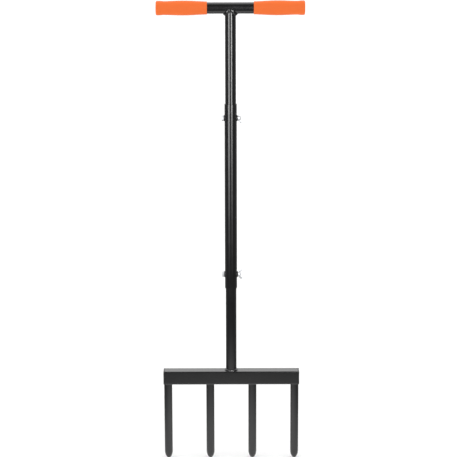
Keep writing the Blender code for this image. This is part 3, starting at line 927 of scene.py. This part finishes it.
def add_to_both_bolts(prefix, fitting, mesh, x, sharp=SHARP_ANGLE):
    """Adds a copy of a fitting made about Z on each bolt's axis, from x on."""
    for place, height in BOLT_HEIGHTS.items():
        copy = mesh.copy()
        copy.transform(along_x((x, 0, height)))
        add_piece(f"{prefix}_{place}_{fitting}", copy, f"{place}_{fitting}", sharp=sharp)


class AERATOR_OT_bolts(bpy.types.Operator):
    """Builds the two zinc-plated bolts, with real threads"""
    bl_idname = "aerator.bolts"
    bl_label = "Bolts"

    def execute(self, context):
        pitch = context.scene.aerator_fittings.thread_pitch
        under_head = BOLT_START + HEAD_HEIGHT
        slope = tan(HEAD_CHAMFER)
        rings = []
        for share in HEAD_SHARES:
            flat = circle(hexagon(share), BOLT_START, BOLT_SEGMENTS)
            rings.append([(x, y, z + slope * max(hypot(x, y) - HEAD_FLAT_RADIUS, 0)) for x, y, z in flat])
        thread_from = BOLT_END - THREAD_LENGTH
        rows = spread(thread_from, BOLT_END - TIP_CHAMFER, round((THREAD_LENGTH - TIP_CHAMFER) / THREAD_ROW))
        profile = [(hexagon(1), under_head - HEAD_EDGE), (hexagon(HEAD_SEAT_SHARE), under_head)]
        profile += [(BOLT_RADIUS, row) for row in [under_head] + rows] + [(TIP_RADIUS, BOLT_END)]
        rings += [circle(radius, height, BOLT_SEGMENTS) for radius, height in profile]
        bolt = threaded(skin("bolt blank", rings), BOLT_RADIUS, thread_from, BOLT_END + pitch)
        add_to_both_bolts("threaded", "bolt", bolt, 0, THREAD_SHARP_ANGLE)
        return {"FINISHED"}


SADDLE_RADIUS = 6.3 * MM
SADDLE_EDGE = 1.2 * MM
SADDLE_FOOT_EDGE = 0.25 * MM
SADDLE_BORE_EDGE = 0.2 * MM
SADDLE_FACE_ROW = 4 * MM
SADDLE_FOOT_ROWS = 9
SADDLE_FOOT_MARGIN = 0.3 * MM


def saddle_profile(angle):
    """The washer's closed section at an angle round the bolt: distances from the bolt and the pole."""
    def on_tube(radius):
        return radius, sqrt((MIDDLE_RADIUS + SINK) ** 2 - (radius * sin(angle)) ** 2)

    face = SEAT - SINK
    foot = SADDLE_RADIUS - SADDLE_FOOT_EDGE
    section = [(HOLE_RADIUS, face - SADDLE_BORE_EDGE), (HOLE_RADIUS + SADDLE_BORE_EDGE, face)]
    section.append((SADDLE_FACE_ROW, face))
    section += [(y, x) for x, y in arc((face - SADDLE_EDGE, SADDLE_RADIUS - SADDLE_EDGE), SADDLE_EDGE, 0, 90)]
    section.append((SADDLE_RADIUS, on_tube(SADDLE_RADIUS)[1] + SADDLE_FOOT_EDGE))
    rows = spread(foot - SADDLE_FOOT_MARGIN, HOLE_RADIUS, SADDLE_FOOT_ROWS)
    return section + [on_tube(radius) for radius in [foot] + rows]


class AERATOR_OT_saddle_washers(bpy.types.Operator):
    """Builds the four moulded saddle washers"""
    bl_idname = "aerator.saddle_washers"
    bl_label = "Saddle washers"

    def execute(self, context):
        sections = [(a, saddle_profile(a)) for a in (tau * i / SMALL_SEGMENTS for i in range(SMALL_SEGMENTS))]
        for place, height in BOLT_HEIGHTS.items():
            for side, sign in SIDES.items():
                rings = [
                    [(sign * x, radius * sin(a), height + radius * cos(a)) for radius, x in section]
                    for a, section in sections
                ]
                node = f"{place}_{side}_saddle_washer"
                add_piece(f"moulded_{node}", skin(node, rings, True), node)
        return {"FINISHED"}


BOSS_HEIGHT = 5.4 * MM
BOSS_BASE_RADIUS = 5.2 * MM
BOSS_TOP_RADIUS = 4.3 * MM
BOSS_EDGE = 0.4 * MM
WING_ROOT = (2.9 * MM, 2.9 * MM)
WING_TIP = (9.3 * MM, 9.2 * MM)
WING_BEND = 1.1 * MM
WING_ROOT_WIDTH = 2.6 * MM
WING_NECK_WIDTH = 1.9 * MM
WING_TIP_WIDTH = 2.5 * MM
WING_ROOT_THICKNESS = 1.5 * MM
WING_TIP_THICKNESS = 0.95 * MM
WING_STEPS = 28
WING_NECK_AT = 0.45
WING_ROUND_FROM = 0.62
WING_BLUNT = 0.02
WING_CORNER = 0.55
NUT_VOXEL = 0.17 * MM
NUT_SMOOTHING = {"factor": 0.5, "iterations": 8}
NUT_COUNTERSINK = 0.45 * MM


def wing_rings(side):
    """One ear of the nut: rounded sections along a bent line, from its thick root to its paddle tip."""
    root, tip = Vector(WING_ROOT), Vector(WING_TIP)
    along = (tip - root).normalized()
    across = Vector((-along.y, along.x))
    outline = four_times(arc((1 - WING_CORNER, 1 - WING_CORNER), WING_CORNER, 0, 90))
    rings = []
    for i in range(WING_STEPS + 1):
        share = sin(pi / 2 * i / WING_STEPS)
        center = between(root, tip, share) - across * WING_BEND * sin(pi * share)
        width = between(WING_ROOT_WIDTH, WING_NECK_WIDTH, sin(pi / 2 * min(share / WING_NECK_AT, 1)))
        width += (WING_TIP_WIDTH - WING_NECK_WIDTH) * max(2 * share - 1, 0)
        rounding = max((share - WING_ROUND_FROM) / (1 - WING_ROUND_FROM), 0)
        closing = sqrt(max(1 - rounding**2, WING_BLUNT))
        thickness = between(WING_ROOT_THICKNESS, WING_TIP_THICKNESS, share) * (1 + closing) / 2
        points = [(center + across * (u * width * closing), v * thickness) for u, v in outline]
        rings.append([(side * point.x, y, point.y) for point, y in points])
    return rings


class AERATOR_OT_wing_nuts(bpy.types.Operator):
    """Builds the two forged wing nuts, with real threads"""
    bl_idname = "aerator.wing_nuts"
    bl_label = "Wing nuts"

    def execute(self, context):
        boss = turned("boss", [
            (0, 0), (BOSS_BASE_RADIUS - BOSS_EDGE, 0), (BOSS_BASE_RADIUS, BOSS_EDGE),
            (BOSS_TOP_RADIUS, BOSS_HEIGHT - BOSS_EDGE), (BOSS_TOP_RADIUS - BOSS_EDGE, BOSS_HEIGHT),
            (0, BOSS_HEIGHT),
        ], SMALL_SEGMENTS)
        bm = bmesh.new()
        for mesh in (boss, skin("left ear", wing_rings(-1)), skin("right ear", wing_rings(1))):
            bm.from_mesh(mesh)
        forging = evaluated(mesh_of(bm, "nut forging"), [
            ("REMESH", {"mode": "VOXEL", "voxel_size": NUT_VOXEL}), ("SMOOTH", NUT_SMOOTHING),
        ])
        rod = BOLT_RADIUS + context.scene.aerator_fittings.thread_clearance
        mouth = rod + NUT_COUNTERSINK
        low, high = NUT_COUNTERSINK, BOSS_HEIGHT - NUT_COUNTERSINK
        profile = [(0, -BOSS_HEIGHT), (mouth, -BOSS_HEIGHT), (mouth, 0)]
        profile += [(rod, row) for row in spread(low, high, round((high - low) / THREAD_ROW))]
        profile += [(mouth, BOSS_HEIGHT), (mouth, 2 * BOSS_HEIGHT), (0, 2 * BOSS_HEIGHT)]
        tap = turned("tap", profile, SMALL_SEGMENTS)
        # the tap stands where the nut does, so its thread meets the bolt's at the same angle
        tap.transform(Matrix.Translation((0, 0, SEAT)))
        tap = threaded(tap, rod, SEAT + low - THREAD_ROW, SEAT + high + THREAD_ROW)
        tap.transform(Matrix.Translation((0, 0, -SEAT)))
        nut = less(forging, [tap])
        nut.materials.clear()
        add_to_both_bolts("forged", "wing_nut", nut, SEAT)
        return {"FINISHED"}


FLOOR_REACH = 40.0
FLOOR_ROUGHNESS = 0.7
FLOOR_GLOW = 0.08
FLOOR_GLEAM = 1.3
FLOOR_GLEAM_AT = (0, -0.15, 0)
FLOOR_FADE = 0.76
FLOOR_FAR_GLEAM = 0.3
WALL_DIM = 0.09
WALL_GLEAM = 1.2
WALL_SPAN = (-0.35, 0.75)  # from in front of the object to behind it, in the Y of a direction
FILL_SPAN = (-1.0, 0.3)  # in the same measure
FILL_FROM_FRONT = 0.55
CEILING_TOWARDS = (0, 0.5, 1)
CEILING_SPAN = (0.75, 1.1)
LAMP_GAP = 20 * MM
LAMP_WATTS = 4  # for each square metre, at a radiance of 1
SENSOR_WIDTH = 36
CAMERA_OFFSET = -5 * MM
CAMERA_ROLL = radians(-0.16)
SMOOTHLY = {"interpolation_type": "SMOOTHSTEP"}


def backdrop(add, behind, brightest):
    """What gloss sees of the studio: bright behind the object and dim in front of it."""
    return add("MapRange", (behind, *WALL_SPAN, WALL_DIM, brightest), **SMOOTHLY)


def floor_material(color):
    """Matt white board. It glows a little to the camera, so that it reads white and its shadows stay faint.

    To gloss it shows a painted pool of light under the object, as a lit board would, and far from it looks
    like the studio.
    """
    material, add, place = new_material("white floor")
    rays = add("LightPath").node.outputs
    glow = add("Math", (rays["Is Camera Ray"], FLOOR_GLOW), operation="MULTIPLY")
    board = add("BsdfPrincipled", {
        "Base Color": (*color, 1), "Roughness": FLOOR_ROUGHNESS, "Emission Color": (1, 1, 1, 1),
        "Emission Strength": glow,
    })
    distance = add("VectorMath", (place, FLOOR_GLEAM_AT), out="Value", operation="DISTANCE")
    depth = add("SeparateXYZ", (place,), out="Y")
    behind = add("Math", (depth, distance), operation="DIVIDE")
    near = add("MapRange", (distance, 0.0, FLOOR_FADE, 1.0, 0.0), **SMOOTHLY)
    # painted pool of light under the object, seen only in gloss, fading into the studio's backdrop far off
    gleam = add("Mix", {
        "Factor": near, "A": backdrop(add, behind, FLOOR_FAR_GLEAM), "B": FLOOR_GLEAM,
    }, out="Result", data_type="FLOAT")
    mirrored = add("Emission", {"Strength": gleam})
    mixed = add("MixShader", (rays["Is Glossy Ray"], board, mirrored))
    add("OutputMaterial", {"Surface": mixed})
    return material


def studio_world(fill_light):
    """White to the camera, and to matt surfaces an even light that is weaker from the front.

    To gloss it is the dim studio, with a bright ceiling above and a little behind.
    """
    world = bpy.data.worlds.new("studio")
    world.use_nodes = True
    world.cycles.sampling_method = "NONE"
    world.node_tree.nodes.clear()
    add = partial(add_node, world.node_tree)
    direction = add("TexCoord", out="Generated")
    behind = add("SeparateXYZ", (direction,), out="Y")
    height = add("VectorMath", (direction, CEILING_TOWARDS), out="Value", operation="DOT_PRODUCT")
    ceiling = add("MapRange", (height, *CEILING_SPAN), **SMOOTHLY)
    walls = backdrop(add, behind, WALL_GLEAM)
    studio = add("Math", (walls, ceiling), operation="ADD")
    rays = add("LightPath").node.outputs
    gloss = add("Math", (rays["Is Glossy Ray"], rays["Is Transmission Ray"]), operation="MAXIMUM")
    levels = (*FILL_SPAN, FILL_FROM_FRONT * fill_light, fill_light)
    soft = add("MapRange", (behind, *levels), **SMOOTHLY)
    strength = rays["Is Camera Ray"]
    for share, light in ((rays["Is Diffuse Ray"], soft), (gloss, studio)):
        strength = add("Math", (share, light, strength), operation="MULTIPLY_ADD")
    background = add("Background", {"Color": (1, 1, 1, 1), "Strength": strength})
    add("OutputWorld", {"Surface": background})
    return world


def add_strip(side, stage):
    """A tall strip light that faces the pole and fades towards its foot.

    It is two lamps, one behind the other: one lights matt surfaces, and one is seen in gloss.
    """
    angle, width, full, brightness = (
        getattr(stage, f"{side}_{part}") for part in ("angle", "width", "full", "brightness")
    )
    height = stage.strip_top - stage.strip_foot
    toward = Vector((sin(angle), -cos(angle), 0))
    for kind, radiance, gap in (("gleam", brightness, 0), ("light", stage.front, LAMP_GAP)):
        lamp = bpy.data.lights.new(f"{side} {kind}", "AREA")
        lamp.shape = "RECTANGLE"
        lamp.size, lamp.size_y = width, height
        lamp.energy = LAMP_WATTS * radiance * width * height
        lamp.use_nodes = True
        lamp.node_tree.nodes.clear()
        add = partial(add_node, lamp.node_tree)
        point = add("NewGeometry", out="Position")
        level = add("SeparateXYZ", (point,), out="Z")
        fading = add("MapRange", (level, stage.strip_foot, full), **SMOOTHLY)
        light = add("Emission", {"Strength": fading})
        add("OutputLight", {"Surface": light})
        strip = new_object(lamp.name, lamp)
        strip.location = toward * (stage.strip_distance + gap)
        strip.location.z = stage.strip_foot + height / 2
        strip.rotation_euler = toward.to_track_quat("Z", "Y").to_euler()
        strip.visible_camera = False
        strip.visible_diffuse = kind == "light"
        strip.visible_glossy = kind == "gleam"


class AERATOR_OT_stage(bpy.types.Operator):
    """Sets the pale floor, the studio lights and the camera"""
    bl_idname = "aerator.stage"
    bl_label = "Stage"

    def execute(self, context):
        stage = context.scene.aerator_stage
        context.scene.view_settings.view_transform = "Standard"
        context.scene.world = studio_world(stage.fill)
        mesh = bpy.data.meshes.new("floor")
        corners = [(x * FLOOR_REACH, y * FLOOR_REACH, 0) for x, y in ((-1, -1), (1, -1), (1, 1), (-1, 1))]
        mesh.from_pydata(corners, [], [range(len(corners))])
        mesh.materials.append(floor_material(stage.floor_color))
        floor = new_object("floor", mesh)
        for side in SIDES:
            add_strip(side, stage)
        eye = bpy.data.cameras.new("camera")
        eye.lens = stage.lens
        eye.sensor_width = SENSOR_WIDTH
        camera = new_object("camera", eye)
        camera.matrix_world = (
            Matrix.Translation((CAMERA_OFFSET, -stage.camera_distance, stage.camera_height))
            @ Matrix.Rotation(pi / 2 - stage.camera_tilt, 4, "X")
            @ Matrix.Rotation(CAMERA_ROLL, 4, "Z")
        )
        context.scene.camera = camera
        return {"FINISHED"}


SETTINGS = {
    "aerator_steel": AERATOR_PG_steel,
    "aerator_fittings": AERATOR_PG_fittings,
    "aerator_finishes": AERATOR_PG_finishes,
    "aerator_stage": AERATOR_PG_stage,
}
OPERATORS = (
    AERATOR_OT_stage,
    AERATOR_OT_foot_bar,
    AERATOR_OT_end_caps,
    AERATOR_OT_tines,
    AERATOR_OT_tine_welds,
    AERATOR_OT_pole,
    AERATOR_OT_cross_tube,
    AERATOR_OT_pole_welds,
    AERATOR_OT_grips,
    AERATOR_OT_bolts,
    AERATOR_OT_saddle_washers,
    AERATOR_OT_wing_nuts,
)


class AERATOR_PT_panel(bpy.types.Panel):
    """Lists the pieces and their settings"""
    bl_idname = "AERATOR_PT_panel"
    bl_label = "Lawn aerator"
    bl_space_type = "VIEW_3D"
    bl_region_type = "UI"
    bl_category = "Aerator"

    def draw(self, context):
        for operator in OPERATORS:
            self.layout.operator(operator.bl_idname)
        for name, group in SETTINGS.items():
            box = self.layout.box()
            box.label(text=group.__doc__)
            for prop in group.__annotations__:
                box.prop(getattr(context.scene, name), prop)


def register():
    for cls in (*SETTINGS.values(), *OPERATORS, AERATOR_PT_panel):
        bpy.utils.register_class(cls)
    for name, group in SETTINGS.items():
        setattr(bpy.types.Scene, name, bpy.props.PointerProperty(type=group))


def unregister():
    for name in SETTINGS:
        delattr(bpy.types.Scene, name)
    for cls in reversed((*SETTINGS.values(), *OPERATORS, AERATOR_PT_panel)):
        bpy.utils.unregister_class(cls)


def main():
    register()
    for operator in OPERATORS:
        group, name = operator.bl_idname.split(".")
        getattr(getattr(bpy.ops, group), name)()


if __name__ == "__main__":
    main()
